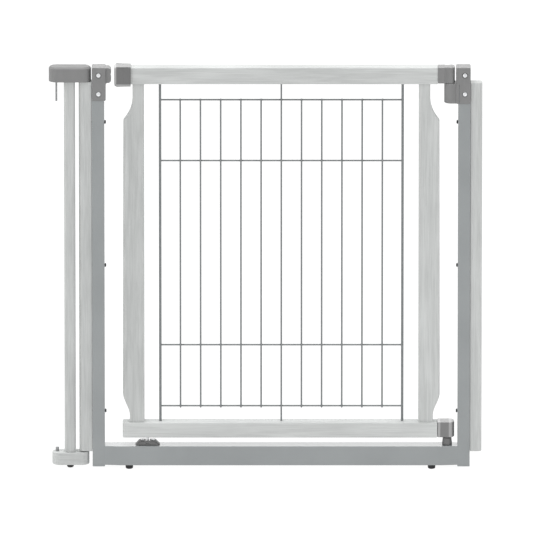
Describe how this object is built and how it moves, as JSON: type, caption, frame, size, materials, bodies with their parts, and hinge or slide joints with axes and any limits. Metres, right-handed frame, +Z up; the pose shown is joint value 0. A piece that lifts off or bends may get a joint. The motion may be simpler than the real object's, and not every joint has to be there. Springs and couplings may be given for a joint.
{
  "type": "pet gate",
  "caption": "Freestanding pet gate section with a steel threshold, wooden posts, a two-way wire door on lift-off pins, a sliding lock sleeve and a swinging link for the next panel.",
  "frame": {"origin": "on the floor, at the middle of the gate's width and depth", "axes": "+X along the gate towards the door's hinge, +Y to the back, +Z up"},
  "size_m": [0.848, 0.0346, 0.817],
  "materials": {
    "wood": "whitewashed, fine grain, satin",
    "steel_paint": "satin grey paint",
    "resin": "satin grey resin",
    "dark_resin": "matte darker grey resin",
    "rubber": "matte black rubber",
    "zinc": "bright zinc plate",
    "black_screw": "blackened steel",
    "wire_paint": "satin grey coating over steel wire"
  },
  "bodies": {
    "frame": {"base_bar": "steel_paint", "left_upright": "steel_paint", "right_upright": "steel_paint", "left_upright_plug": "dark_resin", "right_upright_plug": "dark_resin", "left_post": "wood", "right_post": "wood", "left_bracket": "resin", "right_bracket": "resin", "door_stop": "dark_resin", "pivot_bush": "dark_resin", "left_post_screw_1": "black_screw", "left_post_screw_2": "black_screw", "left_post_screw_3": "black_screw", "right_post_screw_1": "black_screw", "right_post_screw_2": "black_screw", "right_post_screw_3": "black_screw", "left_bracket_screw_lower": "zinc", "left_bracket_screw_upper": "zinc", "right_bracket_screw_lower": "zinc", "right_bracket_screw_upper": "zinc", "door_stop_screw_left": "zinc", "door_stop_screw_right": "zinc", "foot_left_front": "rubber", "foot_left_back": "rubber", "foot_right_front": "rubber", "foot_right_back": "rubber"},
    "link": {"link_cap": "resin", "link_post": "wood", "link_block": "wood", "link_foot": "rubber", "link_post_screw": "zinc", "link_free_pin": "zinc", "link_free_peg": "zinc", "link_pivot_pin": "zinc", "link_pivot_peg": "zinc"},
    "hinge_pins": {"upper_hinge_pin": "zinc", "lower_hinge_pin": "zinc"},
    "door": {"top_rail": "wood", "bottom_rail": "wood", "left_stile": "wood", "right_stile": "wood", "wire_panel": "wire_paint", "upper_hinge_cap": "resin", "lower_hinge_cap": "resin", "stop_peg": "zinc", "left_stile_dowel_bottom": "wood", "left_stile_dowel_top": "wood", "right_stile_dowel_bottom": "wood", "right_stile_dowel_top": "wood"},
    "lock": {"lock_sleeve": "dark_resin"}
  },
  "joints": [
    {"name": "link_swing", "type": "hinge", "parent": "frame", "child": "link", "pos_m": [-0.3566, 0, 0.4], "axis": [0, 0, 1], "range_deg": [-90, 90]},
    {"name": "door_swing", "type": "hinge", "parent": "frame", "child": "hinge_pins", "pos_m": [0.3565, 0, 0.4], "axis": [0, 0, 1], "range_deg": [-90, 90]},
    {"name": "door_lift", "type": "slide", "parent": "hinge_pins", "child": "door", "axis": [0, 0, 1], "range_m": [0, 0.005]},
    {"name": "lock_slide", "type": "slide", "parent": "door", "child": "lock", "axis": [-1, 0, 0], "range_m": [0, 0.0103]}
  ]
}
